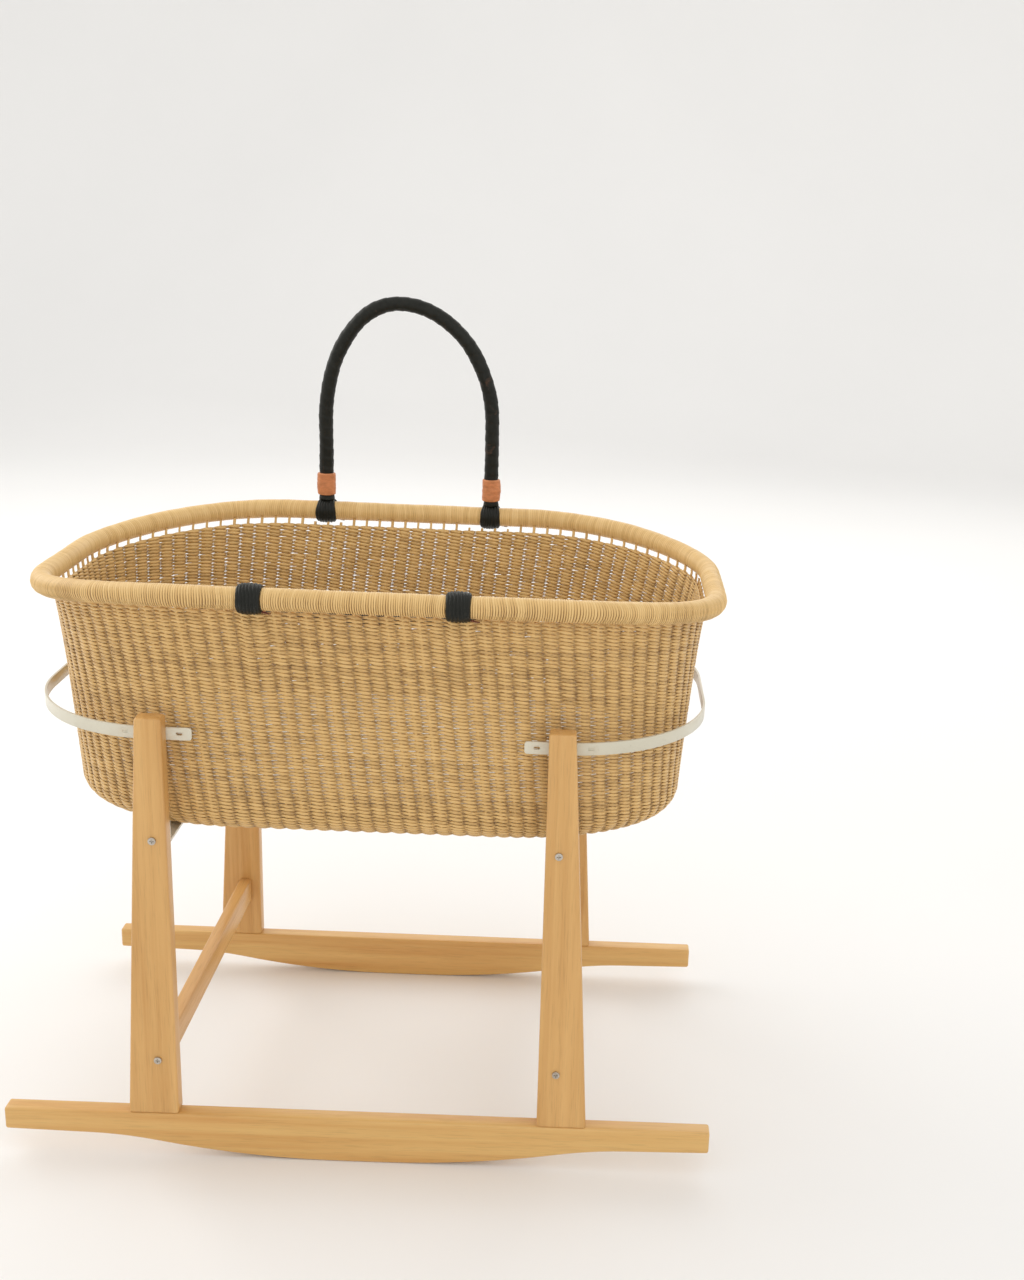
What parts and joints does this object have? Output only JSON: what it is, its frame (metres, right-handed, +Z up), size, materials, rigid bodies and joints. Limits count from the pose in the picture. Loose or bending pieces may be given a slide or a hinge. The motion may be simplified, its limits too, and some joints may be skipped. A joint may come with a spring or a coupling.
{
  "type": "bassinet on stand",
  "caption": "Woven oval basket bed with swinging leather-covered carry handles, resting in steel straps and bands on a wooden rocking stand.",
  "frame": {"origin": "on the floor, under the middle of the stand", "axes": "+X along the bassinet's length, to the right as seen from the side with the folded handle; +Y from that side towards the raised handle; +Z up"},
  "size_m": [0.76, 0.4526, 0.8923],
  "materials": {
    "upright_wood": "satin clear-lacquered pine",
    "rocker_wood": "satin clear-lacquered pine",
    "cream_paint": "satin cream paint",
    "screw_steel": "zinc-plated",
    "straw": "twined elephant-grass straw, softly glossy",
    "cane": "bundled cane",
    "foam": "soft foam",
    "cotton": "matt woven cotton",
    "black_leather": "waxed, wound in a strip",
    "tan_leather": "natural tan",
    "brown_leather": "dark lacing"
  },
  "bodies": {
    "stand": {"rocker_front": "rocker_wood", "rocker_back": "rocker_wood", "upright_front_left": "upright_wood", "upright_front_right": "upright_wood", "upright_back_left": "upright_wood", "upright_back_right": "upright_wood", "stretcher_left": "upright_wood", "stretcher_right": "upright_wood", "cradle_strap_left": "cream_paint", "cradle_strap_right": "cream_paint", "end_band_left": "cream_paint", "end_band_right": "cream_paint", "stretcher_screws": "screw_steel", "stretcher_dowels": "upright_wood", "foot_screws": "screw_steel", "foot_dowels": "upright_wood", "strap_bolts": "screw_steel", "strap_nuts": "screw_steel", "band_screws": "screw_steel"},
    "basket": {"woven_wall": "straw", "woven_base": "straw", "rim_stakes": "straw", "rim_core": "cane", "rim_wrap": "straw", "mattress_foam": "foam", "fitted_sheet": "cotton"},
    "back_handle": {"back_handle_core": "cane", "back_handle_grip": "black_leather", "back_collar_left": "tan_leather", "back_collar_right": "tan_leather", "back_binding_left": "black_leather", "back_binding_right": "black_leather", "back_tie_left": "brown_leather", "back_tie_right": "brown_leather"},
    "front_handle": {"front_handle_core": "cane", "front_handle_grip": "black_leather", "front_collar_left": "tan_leather", "front_collar_right": "tan_leather", "front_binding_left": "black_leather", "front_binding_right": "black_leather", "front_tie_left": "brown_leather", "front_tie_right": "brown_leather"}
  },
  "joints": [
    {"name": "basket_lift", "type": "slide", "parent": "stand", "child": "basket", "axis": [0, 0, 1], "range_m": [0, 0.25]},
    {"name": "back_handle_swing", "type": "hinge", "parent": "basket", "child": "back_handle", "pos_m": [0, 0.2105, 0.63], "axis": [1, 0, 0], "range_deg": [-150, 100]},
    {"name": "front_handle_swing", "type": "hinge", "parent": "basket", "child": "front_handle", "pos_m": [0, -0.2105, 0.63], "axis": [1, 0, 0], "range_deg": [0, 259]}
  ]
}
